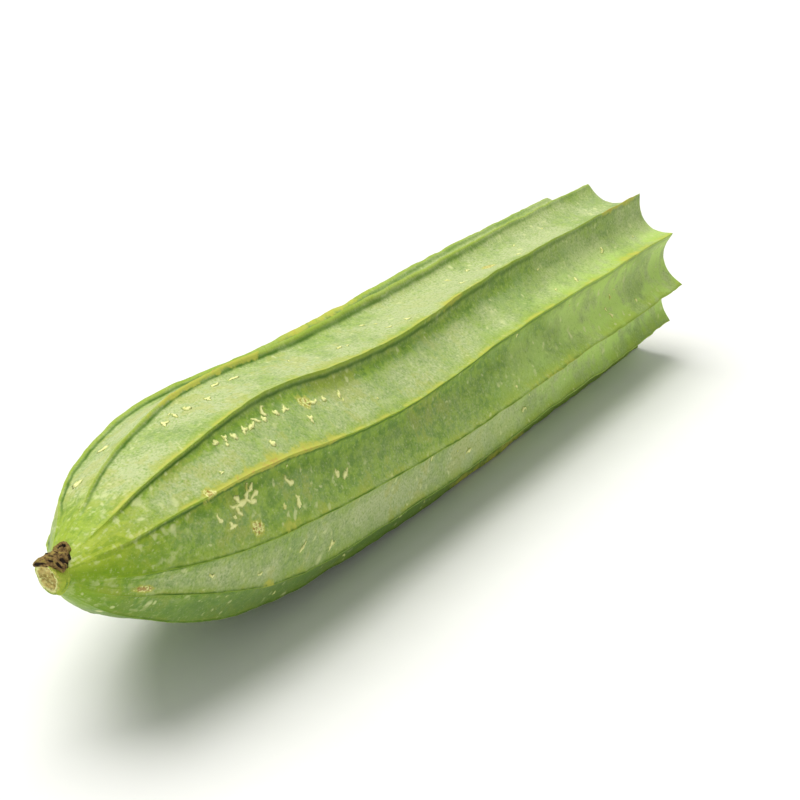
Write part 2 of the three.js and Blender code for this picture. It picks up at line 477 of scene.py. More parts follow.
class GourdStage(bpy.types.PropertyGroup):
    """Camera, floor and lights."""

    azimuth: degrees_property("Azimuth", "Camera's turn", -58.5)
    elevation: degrees_property("Elevation", "Camera's height angle", 23.6)
    distance: length_property("Distance", "From the point looked at to the camera", 571.3)
    lens: number_property("Lens", "Focal length in millimetres", 90.0, "CAMERA")
    aim_along: length_property("Aim along", "Point looked at, past the middle", 13.16)
    aim_side: length_property("Aim side", "Point looked at, to the side", -1.1)
    aim_height: length_property("Aim height", "Height of the point looked at", 27.7)
    floor: colour_property("Floor", "Pale floor", "F4F4F2")
    key: number_property("Key", "Power of the overhead light", 31.5, "POWER")
    fill: number_property("Fill", "Power of the front light", 0.9, "POWER")
    back: number_property("Back", "Power of the light on the cut", 1.6, "POWER")
    sky: number_property("Sky", "Strength of the room's light", 0.38)


GROUPS = {
    "gourd_shape": GourdShape,
    "gourd_colours": GourdColours,
    "gourd_scars": GourdScars,
    "gourd_stub": GourdStub,
    "gourd_stage": GourdStage,
}


# ---- The rule of the body ----


def ridge_turn(index, shape):
    return shape.first_turn + PITCH * index + RIDGES[index % len(RIDGES)][0]


def spread(step, steps, crowding):
    """Even steps from 0 to 1, crowded towards both ends."""
    even = step / steps
    return even - crowding * math.sin(2 * math.pi * even) / (2 * math.pi)


STATIONS = 300
STATION_CROWDING = 1.35
STEPS_PER_HOLLOW = 27
CREST_CROWDING = 0.72
RIM_ROUNDING = 0.0007
# The rings that round the rim: part of the rounding still to go, inset.
RIM_RINGS = ((1.0, 1.0), (0.3, 0.998), (0.0, 0.993))
CUT_RINGS = 34
CUT_INSET = 0.985
CUT_CROWDING = 1.2


def net_rows():
    """(share, inset) of each ring: along the skin, round the rim, and in over the cut."""
    skin = 1 - RIM_ROUNDING
    rows = [((i / STATIONS) ** STATION_CROWDING * skin, 1.0) for i in range(STATIONS)]
    rows += [(1 - RIM_ROUNDING * left, inset) for left, inset in RIM_RINGS]
    rows += [(1.0, CUT_INSET * (1 - (i / CUT_RINGS) ** CUT_CROWDING)) for i in range(CUT_RINGS)]
    return rows


def net_columns(shape):
    """(ridge, part, turn, reach) of each column, once round."""
    columns = []
    for ridge in range(len(RIDGES)):
        turns = ridge_turn(ridge, shape), ridge_turn(ridge + 1, shape)
        reaches = RIDGES[ridge][1], RIDGES[(ridge + 1) % len(RIDGES)][1]
        for step in range(STEPS_PER_HOLLOW):
            part = spread(step, STEPS_PER_HOLLOW, CREST_CROWDING)
            turn = turns[0] + (turns[1] - turns[0]) * part
            reach = reaches[0] + (reaches[1] - reaches[0]) * part
            columns.append((ridge, part, turn, reach))
    return columns


def smooth_step(value):
    value = min(max(value, 0.0), 1.0)
    return value * value * (3 - 2 * value)


def lap_between(first, second):
    """Shortest distance between two places round the gourd, in ridges."""
    apart = abs(first - second) % len(RIDGES)
    return min(apart, len(RIDGES) - apart)


WEAR_FADE = 0.06
WEAR_ABOVE = 0.13
WEAR_BELOW = 0.04


def worn_at(share, lap):
    """How far the crest is worn yellow at a place on the skin."""
    most = 0.0
    for ridge, first, last, strength in WORN_CRESTS:
        past = (lap - ridge + len(RIDGES) / 2) % len(RIDGES) - len(RIDGES) / 2
        if abs(past) < 0.5 and first - WEAR_FADE / 2 < share < last + WEAR_FADE / 2:
            ends = smooth_step((share - first) / WEAR_FADE + 0.5)
            ends *= smooth_step((last - share) / WEAR_FADE + 0.5)
            width = WEAR_BELOW if past > 0 else WEAR_ABOVE
            most = max(most, strength * ends * math.exp(-((past / width) ** 2)))
    return most


def bend_at(share, lap):
    """How far the skin at a place is turned by the bends of the ridges, in degrees."""
    total = 0.0
    for ridge, middle, half, degrees in BENDS:
        near = max(1 - lap_between(lap, ridge), 0.0)
        total += degrees * near * math.exp(-(((share - middle) / half) ** 2))
    return total


def cork_at(share, lap, shape):
    """How corky the skin is at a place."""
    most = 0.0
    for spot_share, ridge, part, radius in CORK_SPOTS:
        along = (share - spot_share) * shape.length / MM
        across = lap_between(lap, ridge + part) * math.radians(PITCH) * shape.tip_radius / MM
        most = max(most, math.exp(-(along * along + across * across) / radius**2))
    return most


def chalk_at(lap):
    """How chalky the skin is at a place round the gourd."""
    count = len(RIDGES)
    here, part = int(lap) % count, lap % 1.0
    beside = CHALK[(here - 1) % count] if part < 0.5 else CHALK[(here + 1) % count]
    share = 0.5 + 0.5 * smooth_step(min(part, 1 - part) / 0.15)
    return CHALK[here] * share + beside * (1 - share)


def store(mesh, name, values, kind="FLOAT"):
    field = "vector" if kind == "FLOAT_VECTOR" else "value"
    mesh.attributes.new(name, kind, "POINT").data.foreach_set(field, values)


def skin_net(shape):
    """The rings and columns of the body as a mesh, with each point's place on the gourd."""
    rows = net_rows()
    columns = net_columns(shape)
    sides = len(columns)
    points = [(*row, *column) for row in rows for column in columns]
    points += [(0.0, 0.0, 0, 0.0, 0.0, 1.0), (1.0, 0.0, 0, 0.0, 0.0, 1.0)]
    faces = []
    for i in range(len(rows) - 1):
        for j in range(sides):
            a, b = i * sides + j, i * sides + (j + 1) % sides
            faces.append((a, b, b + sides, a + sides))
    seat, middle = len(points) - 2, len(points) - 1
    last = (len(rows) - 1) * sides
    for j in range(sides):
        k = (j + 1) % sides
        faces.append((seat, k, j))
        faces.append((middle, last + j, last + k))
    shares, insets, ridges, parts, turns, reaches = zip(*points)
    laps = [ridge + part for ridge, part in zip(ridges, parts)]
    places = list(zip(shares, laps))
    mesh = bpy.data.meshes.new("gourd")
    flat = [(share, part + turn, inset) for share, inset, _, part, turn, _ in points]
    mesh.from_pydata(flat, [], faces)
    fields = {
        "share": shares,
        "inset": insets,
        "between": parts,
        "reach": reaches,
        "turn": [math.radians(turn + bend_at(*place)) for turn, place in zip(turns, places)],
        "chalk": [chalk_at(lap) for lap in laps],
        "worn": [worn_at(*place) for place in places],
        "cork": [cork_at(*place, shape) for place in places],
    }
    for name, values in fields.items():
        store(mesh, name, values)
    grown = []
    for share, turn in zip(shares, map(math.radians, turns)):
        grown += [math.cos(turn), math.sin(turn), share]
    store(mesh, "grown", grown, "FLOAT_VECTOR")
    return mesh


class GeometryTree(Nodes):
    """A Geometry Nodes tree with named inputs."""

    def __init__(self, name, inputs):
        super().__init__(bpy.data.node_groups.new(name, "GeometryNodeTree"))
        sockets = self.tree.interface
        sockets.new_socket("Geometry", in_out="OUTPUT", socket_type="NodeSocketGeometry")
        sockets.new_socket("Geometry", in_out="INPUT", socket_type="NodeSocketGeometry")
        for label, kind in inputs.items():
            sockets.new_socket(label, in_out="INPUT", socket_type=kind)
        self.entry = self.tree.nodes.new("NodeGroupInput")

    def __getitem__(self, label):
        return Wire(self, self.entry.outputs[label])

    def attribute(self, name, kind="FLOAT"):
        return self.add("GeometryNodeInputNamedAttribute", {"data_type": kind}, {"Name": name})

    def stored(self, geometry, name, value):
        settings = {"data_type": "FLOAT", "domain": "POINT"}
        sockets = {"Geometry": geometry, "Name": name, "Value": value}
        return self.add("GeometryNodeStoreNamedAttribute", settings, sockets)

    def finished(self, geometry, materials):
        """Ends the tree with Realize Instances and one Set Material for each material."""
        result = self.add("GeometryNodeRealizeInstances", None, {"Geometry": geometry})
        for material, selection in materials:
            sockets = {"Geometry": result, "Material": material}
            if selection is not None:
                sockets["Selection"] = selection
            result = self.add("GeometryNodeSetMaterial", None, sockets)
        self.feed(self.tree.nodes.new("NodeGroupOutput").inputs["Geometry"], result)


def grow(piece, tree, values):
    """Runs a tree on a piece and keeps the result as the piece's plain mesh."""
    modifier = piece.modifiers.new(tree.tree.name, "NODES")
    modifier.node_group = tree.tree
    for item in tree.tree.interface.items_tree:
        if item.in_out == "INPUT" and item.name in values:
            modifier[item.identifier] = values[item.name]
    depsgraph = bpy.context.evaluated_depsgraph_get()
    depsgraph.update()
    evaluated = piece.evaluated_get(depsgraph)
    layers = {"preserve_all_data_layers": True, "depsgraph": depsgraph}
    mesh = bpy.data.meshes.new_from_object(evaluated, **layers)
    piece.modifiers.remove(modifier)
    piece.data = mesh
    mesh.name = piece.name


# How much wider and higher the cord along a crest gets by the cut, as shares of its size.
WELT_WIDENING = 2.0
WELT_RISE = 2.2

# Sizes that are used before the tree runs, or as angles inside it, and so aren't its inputs.
WORKED_OUT_FIRST = {"first_turn", "twist", "resting_turn", "sway"}
TREE_INPUTS = {
    key: key.replace("_", " ").title()
    for key in GourdShape.__annotations__
    if key not in WORKED_OUT_FIRST
}


def body_tree(shape, rind, flesh):
    """The body's rule: axis, radius, ridges, hollows, crest welts and skin relief."""
    t = GeometryTree("ridge_gourd_body", dict.fromkeys(TREE_INPUTS.values(), "NodeSocketFloat"))
    share, inset, turn = t.attribute("share"), t.attribute("inset"), t.attribute("turn")
    between, reach = t.attribute("between"), t.attribute("reach")
    grown = t.attribute("grown", "FLOAT_VECTOR")
    up, out = t.part(grown, 0), t.part(grown, 1)

    def fade(end):
        return (1.0 - share / end).above(0.0)

    # Radius to a ridge tip.
    straight = ((share - t["Taper Start"]) / (1.0 - t["Taper Start"])).above(0.0)
    plain = t["Tip Radius"] * (1.0 - t["Taper"] * straight * straight)
    blunt = 1.0 - fade(t["Dome Share"]) ** 2.0
    tip = (plain * blunt.above(0.0) ** t["Dome Power"]).above(t["Seat Radius"])

    # Ridges, hollows and the welt along each crest.
    formed = share.rise(0.0, t["Ridge Fade"])
    depth = t["Hollow At Stem"] + (t["Hollow At Cut"] - t["Hollow At Stem"]) * share
    leaning = 1.0 - t["Hollow Lean"] * share.fall(0.5, 0.95)
    bowl = 1.0 - (between**leaning * 2.0 - 1.0).size() ** t["Hollow Power"]
    scale = 1.0 + (reach - 1.0 - depth * bowl) * formed
    across = (0.5 - (between - 0.5).size()) * math.radians(PITCH) * tip
    along = t.part(grown, 2) * t["Length"]
    nicks = t.noise(t.vector(up, out, along * 60.0), 2.0, 3.0)
    cord = (across / (t["Welt Width"] * (1.0 + WELT_WIDENING * share * share))).bell()
    welt = cord * t["Welt Height"] * (1.0 + WELT_RISE * share * share) * formed
    welt = welt * (0.45 + 0.55 * nicks.rise(0.25, 0.6))

    # Slow swells and fine puckers of the skin.
    unrolled = t.vector(up * 0.03, out * 0.03, along)
    swells = (t.noise(unrolled, 38.0, 2.0) - 0.5) * t["Swell"] * 2.0
    streaks = (t.noise(unrolled * (1.0, 1.0, 0.22), 170.0, 2.0) - 0.5) * t["Pucker"] * 2.0
    puckers = (t.noise(unrolled, 210.0, 3.0, 0.6) - 0.5) * t["Pucker"] * 2.0
    relief = (swells + streaks + puckers) * formed + welt

    # Axis and its directions.
    beak, hook, lift = fade(t["Beak Share"]), fade(t["Hook Share"]), fade(t["Lift Share"])
    height = plain * math.cos(math.radians(shape.resting_turn))
    axis = t.vector(
        share * t["Length"] - t["Beak Reach"] * beak**2.0,
        t["Beak Side"] * beak**2.0 - t["Hook"] * hook**2.0,
        height + t["Beak Rise"] * beak**2.0 + t["Lift"] * lift**2.0,
    )
    beak, hook = 2.0 * beak / t["Beak Share"], 2.0 * hook / t["Hook Share"]
    lift = 2.0 * lift / t["Lift Share"]
    heading = t.vector(
        t["Length"] + t["Beak Reach"] * beak,
        t["Hook"] * hook - t["Beak Side"] * beak,
        -(t["Lift"] * lift) - t["Beak Rise"] * beak,
    )
    heading = t.vector_math("NORMALIZE", heading)
    sideways = t.vector_math("NORMALIZE", t.vector_math("CROSS_PRODUCT", (0, 0, 1), heading))
    upward = t.vector_math("CROSS_PRODUCT", heading, sideways)

    # Each ridge sways a little from side to side.
    sway = t.noise(unrolled, 24.0, 1.0) - 0.5 + (t.noise(unrolled, 85.0, 2.0) - 0.5) * 0.5
    angle = turn + share * math.radians(shape.twist) + sway * math.radians(2 * shape.sway) * formed
    outward = upward * angle.cosine() - sideways * angle.sine()
    radius = tip * scale + relief

    # The cut face: seed hollows, and flesh that dries a little lower than the rind.
    reached = radius * inset
    flat_x, flat_y = reached * turn.cosine() / MM, reached * turn.sine() / MM
    seeds = None
    wobble = (t.noise(t.vector(flat_x, flat_y, 0.0), 0.5, 2.0) - 0.5) * SEED_WAVER
    for seed_turn, distance in SEED_HOLLOWS:
        x, y = math.cos(math.radians(seed_turn)), math.sin(math.radians(seed_turn))
        long = (flat_x * x + flat_y * y - distance + wobble) / SEED_HALF_LENGTH
        wide = (flat_y * x - flat_x * y + wobble) / SEED_HALF_WIDTH
        hollow = (long * long + wide * wide).fall(0.35, 1.15)
        seeds = hollow if seeds is None else t.math("MAXIMUM", seeds, hollow)
    core = reached / t["Tip Radius"]
    cut = share.rise(0.9995, 1.0) * inset.fall(0.985, 0.999)
    grain = (t.noise(t.vector(flat_x, flat_y, 0.0), 1.3, 3.0) - 0.5) * 0.12
    dried = core.fall(0.35, 0.8) * 0.25 + seeds * 0.35
    sunk = (grain - dried) * MM * cut
    place = axis + outward * reached + heading * sunk

    shaped = t.add("GeometryNodeSetPosition", None, {"Geometry": t["Geometry"], "Position": place})
    kept = {"across": across, "core": core, "edge": radius - reached, "seeds": seeds * cut}
    for name, value in kept.items():
        shaped = t.stored(shaped, name, value)
    smooth = t.add("GeometryNodeSetShadeSmooth", None, {"Geometry": shaped})
    on_cut = t.math("LESS_THAN", inset, 0.99) * share.rise(0.99, 1.0)
    t.finished(smooth, [(rind, None), (flesh, on_cut)])
    return t


# ---- Materials ----


def attribute(nodes, name, output="Fac"):
    return nodes.add("ShaderNodeAttribute", {"attribute_name": name}, output=output)


def rind_material(colours):
    """Waxy skin: mottled greens, chalky bloom, worn crests and a bright dome."""
    material, shader, n = new_material("rind", 0.5, 0.22, subsurface=0.05)
    place, grown = n.place(), attribute(n, "grown", "Vector")
    up, out = n.part(grown, 0), n.part(grown, 1)
    across, between = attribute(n, "across") / MM, attribute(n, "between")
    share, worn, cork = attribute(n, "share"), attribute(n, "worn"), attribute(n, "cork")
    below, above = between.fall(0.4, 0.5), between.rise(0.5, 0.6)

    broad = n.noise(place, 45.0, 3.0, 0.6)
    patch = n.noise(place, 130.0, 3.0, 0.6)
    mottle = n.noise(place, 420.0, 3.0, 0.65)
    grain = n.noise(place, 1500.0, 3.0, 0.65)
    streak = n.noise(grown * (8.0, 8.0, 52.0), 1.0, 3.0, 0.6, 0.6)
    warp = place + (n.noise(place, 300.0, 2.0) - 0.5) * 0.004

    # Green skin with grainy bloom over the panel. Under each ridge the bloom is left off:
    # a deeper strip of painted shade.
    panel = (between + (patch - 0.5) * 0.3).rise(0.12, 0.38)
    chalk = attribute(n, "chalk").above(share.rise(0.45, 0.9) * 0.95)
    panel = panel.above((share.rise(0.5, 0.9) * 0.85).above(chalk * 4.0 - 3.4))
    bloom = (0.15 + 0.85 * panel) * chalk * (0.5 + 0.65 * broad.rise(0.34, 0.6))
    bloom = bloom * (0.6 + 0.8 * grain.rise(0.3, 0.7)) * share.rise(0.02, 0.08)
    colour = n.mixed(mottle.rise(0.36, 0.64), colours.deep, colours.mid)
    cool = patch.rise(0.48, 0.66) * 0.5
    colour = n.painted(colour, (cool, colours.blue), (bloom * 0.8, colours.sage))

    # Painted light, a paler green on the near side towards the cut; yellower skin above each ridge
    # and in patches; and painted shade, a deeper green, on the underside.
    # Painted light: paler green on the near side towards the cut, kept off the top.
    fresh = share.rise(0.45, 0.9) * up.fall(0.5, 1.0) * out.rise(-0.3, 0.6)
    fresh = fresh * (0.25 + 0.9 * (broad + patch - 0.5).rise(0.36, 0.62))
    bare = across.fall(0.5, 4.0) * (0.3 + 0.7 * patch.rise(0.38, 0.6)) * (0.35 + 0.65 * above)
    olive = (patch + (broad - 0.5) + (mottle - 0.5) * 0.6).rise(0.54, 0.68) * share.fall(0.4, 0.7)
    # Painted shade: a deeper green where the skin faces down.
    lee = (up + (patch - 0.5) * 0.3).fall(-0.8, -0.22)
    colour = n.painted(
        colour,
        (fresh, colours.fresh),
        (bare * 0.6, colours.lime),
        (olive * 0.3, colours.olive),
        (lee * 0.62, colours.lee),
    )

    # The bright dome, with pale blotches that run out from the stem.
    flank, low = up.fall(0.1, 0.75), up.fall(-0.5, 0.1)
    reach = share * (1.0 + 0.9 * low) + (streak - 0.5) * 0.08 + (patch - 0.5) * 0.05
    dome = reach.fall(0.015, 0.085) * (0.85 - 0.4 * chalk.rise(0.75, 1.0))
    bright = n.mixed(flank * (0.4 + streak), colours.dome, colours.shade)
    soft = n.noise(place, 310.0, 2.0, 0.6)
    blotch = (soft + (streak - 0.5) * 0.35).rise(0.54, 0.7) * share.fall(0.05, 0.12)
    blotch = blotch * (0.3 + 0.4 * up.rise(-0.3, 0.6))
    shade = (streak + (mottle - 0.5) * 0.5).fall(0.34, 0.46) * share.fall(0.04, 0.1)
    colour = n.painted(colour, (dome, bright), (blotch, colours.fleck), (shade * 0.4, colours.deep))

    # Fine flecks, dots and smears.
    dots = n.cells(warp, 300.0).fall(0.12, 0.26) * patch.rise(0.42, 0.6)
    smears = n.cells(warp, 105.0).fall(0.05, 0.16) * broad.rise(0.4, 0.5)
    colour = n.painted(
        colour,
        (grain.rise(0.56, 0.74) * 0.4, colours.fleck),
        (grain.fall(0.28, 0.44) * 0.4, colours.deep),
        (dots * 0.7, colours.fleck),
        (smears * (0.3 + mottle), colours.fleck),
    )

    # The crest: painted shade, a dark line under it and over it on the sides and underside;
    # a painted highlight, a pale edge over it and a thin lime line on it; and worn yellow stretches.
    waver = across + (mottle - 0.5) * 0.5
    marked = share.rise(0.02, 0.07) * share.fall(0.3, 1.4)
    side = up.fall(0.1, 0.4)
    # Painted shade: a dark line just under the crest.
    under = ((waver - 0.6) / 0.36).bell() * below * marked
    # Painted highlight: a pale edge over the crest, fainter on the sides and underside.
    over = ((waver - 0.5) / 0.5).bell() * above * share.rise(0.02, 0.06) * (1.0 - 0.8 * side)
    # Painted shade: a dark line over the crest on the sides and underside.
    rim = ((waver - 0.2) / 0.32).bell() * above * marked * side
    rubbed = worn + (mottle - 0.5) * 1.2 + (patch - 0.5) * 1.6
    scuffed = (rubbed + (grain - 0.5) * 1.5).rise(0.95, 1.15) * worn.rise(0.5, 0.8)
    colour = n.painted(
        colour,
        (under * (0.75 + 0.25 * patch.rise(0.35, 0.6)), colours.line),
        (over * (0.1 + 0.8 * patch.rise(0.4, 0.65)), colours.crest),
        # Painted highlight: a thin lime line along the crest itself.
        (across.fall(0.1, 0.4) * share.rise(0.02, 0.07) * 0.6, colours.lime),
        (rim * (0.5 + 0.5 * patch.rise(0.35, 0.6)), colours.line),
        (rubbed.rise(0.35, 0.8) * worn.rise(0.02, 0.25) * 0.8, colours.crest),
        (scuffed * 0.65, colours.tan),
    )

    # Corky spots.
    ragged = cork + (mottle - 0.5) * 1.8
    flaky = (ragged + (grain - 0.5) * 1.5).rise(0.6, 0.85) * cork.rise(0.15, 0.4)
    brown = (ragged - (grain - 0.5) * 2.2).rise(0.75, 1.0) * cork.rise(0.3, 0.55)
    colour = n.painted(
        colour,
        (ragged.rise(0.2, 0.6) * cork.rise(0.02, 0.25) * 0.7, colours.crest),
        (flaky * 0.7, colours.scar),
        (brown * 0.8, colours.cork),
    )

    rough = 0.44 + 0.14 * bloom.below(1.0) + 0.2 * (mottle - 0.5) + 0.2 * worn * mottle
    feed_shader(n, shader, colour, rough, mottle * 0.6 + grain * 0.5 + cork * grain, 0.16 * MM)
    return material


def flesh_material(colours):
    """The moist cut face: a dark skin line, a lime band, cream, and pale flesh."""
    material, shader, n = new_material(
        "flesh", 0.34, 0.5, coat=0.15, subsurface=0.35, glow=PALE_GLOW
    )
    place = n.place()
    core, edge = attribute(n, "core"), attribute(n, "edge") / MM
    seeds, grown = attribute(n, "seeds"), attribute(n, "grown", "Vector")
    cloud = n.noise(place, 160.0, 3.0)
    fibre = n.noise(grown * (26.0, 26.0, 1.0) + place * 90.0, 1.0, 3.0)
    wander = core + (cloud - 0.5) * 0.07
    colour = n.painted(
        colours.flesh,
        (wander.rise(0.56, 0.68), colours.cream),
        (wander.rise(0.65, 0.76), colours.rind),
        (wander.rise(0.75, 1.0) * 0.3, colours.skin_edge),
        ((edge + (cloud - 0.5)).fall(0.4, 2.2) * 0.5, colours.skin_edge),
        (edge.fall(0.25, 0.7), colours.skin_edge),
        (seeds * 0.6, colours.seed),
        (core.fall(0.02, 0.12) * 0.35, colours.cream),
        (fibre.rise(0.5, 0.7) * core.fall(0.5, 0.8) * 0.25, colours.seed),
    )
    relief = n.noise(place, 900.0, 3.0) + fibre * 0.5
    feed_shader(n, shader, colour, 0.28 + 0.2 * cloud + 0.1 * seeds, relief, 0.1 * MM)
    return material


def scar_material(colours):
    """Dry cream scar tissue, greener at its low edges."""
    material, shader, n = new_material("scar", 0.7, 0.25, subsurface=0.05)
    place = n.place()
    blotch = n.noise(place, 500.0, 3.0)
    low = attribute(n, "raised").fall(0.1, 0.6)
    dry = blotch.rise(0.2, 0.5)
    colour = n.painted(colours.crest, (dry, colours.scar), (low * 0.5, colours.mid))
    feed_shader(n, shader, colour, 0.6 + 0.25 * blotch, n.noise(place, 2200.0, 2.0), 0.08 * MM)
    return material


def stub_material(colours):
    """Green bark with a fibrous tan cut."""
    material, shader, n = new_material("stem_wood", 0.7, 0.3, subsurface=0.05)
    place = n.place()
    face, rim = attribute(n, "face"), attribute(n, "rim")
    along, ring = attribute(n, "along"), attribute(n, "ring", "Vector")
    fibre = n.noise(ring * (6.0, 6.0, 1.5), 1.0, 3.0, 0.6)
    crumb = n.noise(place, 1300.0, 3.0, 0.65)
    clump = n.noise(place, 600.0, 2.0, 0.5)
    ragged = rim + (crumb - 0.5) * 0.3
    bark = n.painted(
        colours.bark,
        (fibre.rise(0.4, 0.7), colours.dome),
        (along.rise(0.5, 0.95) * crumb.rise(0.4, 0.6) * 0.6, colours.pith),
    )
    core = n.painted(
        colours.heart,
        (clump.rise(0.38, 0.6), colours.pith),
        (crumb.rise(0.52, 0.7) * 0.7, colours.scar),
        (crumb.fall(0.28, 0.42) * 0.5, colours.husk),
        (ragged.rise(0.72, 0.84) * 0.9, colours.scar),
        (ragged.rise(0.86, 0.94) * 0.7, colours.bark),
    )
    colour = n.mixed(face, bark, core)
    feed_shader(n, shader, colour, 0.55 + 0.3 * crumb, crumb + clump * 0.6, 0.3 * MM)
    return material


def crust_material(colours):
    """Dried brown crust with dark pits and paler flakes."""
    material, shader, n = new_material("crust", 0.85, 0.2)
    place = n.place()
    crumb = n.noise(place, 1300.0, 4.0, 0.65)
    flake = n.noise(place, 520.0, 3.0, 0.6) + (attribute(n, "lump") - 0.5) * 0.3
    colour = n.painted(
        colours.crust,
        (crumb.rise(0.38, 0.7), colours.husk),
        (flake.rise(0.52, 0.68) * 0.6, colours.heart),
        (crumb.fall(0.3, 0.44) * 0.7, colours.pit),
        (attribute(n, "pits").rise(0.15, 0.6), colours.pit),
    )
    feed_shader(n, shader, colour, 0.75 + 0.2 * crumb, crumb, 0.3 * MM)
    return material


def floor_material(colour):
    """Pale matt paper with the faintest grain."""
    material, shader, n = new_material("floor", 0.9, 0.1)
    grain = n.noise(n.place(), 60.0, 2.0)
    paler = tuple(min(value * 1.03, 1.0) for value in colour)
    n.feed(shader.inputs["Base Color"], n.mixed(grain, tuple(colour), paler))
    return material


# ---- Pieces ----


def new_piece(name, mesh):
    piece = bpy.data.objects.new(name, mesh)
    bpy.context.scene.collection.objects.link(piece)
    return piece


def settle(mesh, node):
    """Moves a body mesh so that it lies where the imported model's node lies."""
    low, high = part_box(node)
    xs, ys, zs = ([v.co[axis] for v in mesh.vertices] for axis in range(3))
    move = Vector((high[0] - max(xs), (low[1] + high[1] - min(ys) - max(ys)) / 2, low[2] - min(zs)))
    for vertex in mesh.vertices:
        vertex.co += move


def make_body(shape, colours):
    piece = new_piece("gourd", skin_net(shape))
    tree = body_tree(shape, rind_material(colours), flesh_material(colours))
    grow(piece, tree, {label: getattr(shape, key) for key, label in TREE_INPUTS.items()})
    settle(piece.data, "gourd_body")
    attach(piece, BODY)
    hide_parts("gourd_body")


def skin_place(mesh, share, ridge, part):
    """Position of the skin at a place, read from the finished mesh."""
    rows = net_rows()
    row = min(range(STATIONS), key=lambda i: abs(rows[i][0] - share))
    steps = range(STEPS_PER_HOLLOW)
    step = min(steps, key=lambda j: abs(spread(j, STEPS_PER_HOLLOW, CREST_CROWDING) - part))
    return mesh.vertices[(row * len(RIDGES) + ridge) * STEPS_PER_HOLLOW + step].co.copy()


STROKE_TAPER = 0.35
STROKE_WIDTHS = (0.55, 1.3)
STROKE_ROOT = 0.6
STROKE_WAVER = 0.25


def stroke(points, width, height, rng):
    """A ragged raised stroke along points: vertices and faces of a closed solid."""
    vertices, faces = [], []
    count = len(points)
    for i, point in enumerate(points):
        before, after = points[max(i - 1, 0)], points[min(i + 1, count - 1)]
        ahead = (Vector(after) - Vector(before)).normalized()
        beside = Vector((-ahead.y, ahead.x))
        full = math.sin(math.pi * (i + 0.5) / count) ** STROKE_TAPER * rng.uniform(*STROKE_WIDTHS)
        half, top = width * full, height * full
        root = -height * STROKE_ROOT
        for offset, level in ((half, 0.0), (0.0, top), (-half, 0.0), (0.0, root)):
            spot = Vector(point) * MM + beside * offset
            vertices.append((spot.x, spot.y, level))
    for i in range(count - 1):
        for j in range(4):
            a, b = i * 4 + j, i * 4 + (j + 1) % 4
            faces.append((a, b, b + 4, a + 4))
    faces.append((3, 2, 1, 0))
    end = (count - 1) * 4
    faces.append((end, end + 1, end + 2, end + 3))
    return vertices, faces


def finer(points, rng):
    """A stroke's points with a wavering one put between each pair."""
    result = [points[0]]
    for before, after in zip(points, points[1:]):
        middle = [(a + b) / 2 + rng.uniform(-STROKE_WAVER, STROKE_WAVER) for a, b in zip(before, after)]
        result += [tuple(middle), after]
    return result


def scar_patterns(scars):
    """One small mesh for each kind of scar, with every point's height stored on it."""
    rng = random.Random(scars.seed)
    collection = bpy.data.collections.new("scar_patterns")
    for kind, strokes in enumerate(SCAR_KINDS):
        vertices, faces = [], []
        for points in strokes:
            more, sides = stroke(finer(points, rng), scars.width, scars.height, rng)
            faces += [tuple(i + len(vertices) for i in face) for face in sides]
            vertices += more
        mesh = bpy.data.meshes.new(f"scar_{kind}")
        mesh.from_pydata([(x, y, 0.0) for x, y, z in vertices], [], faces)
        store(mesh, "height", [z for x, y, z in vertices])
        collection.objects.link(bpy.data.objects.new(f"scar_{kind}", mesh))
    return collection


# The kinds of scar that are strewn are drawn as the whole part of a number from 0 to this.
STREWN_KINDS = 3.999


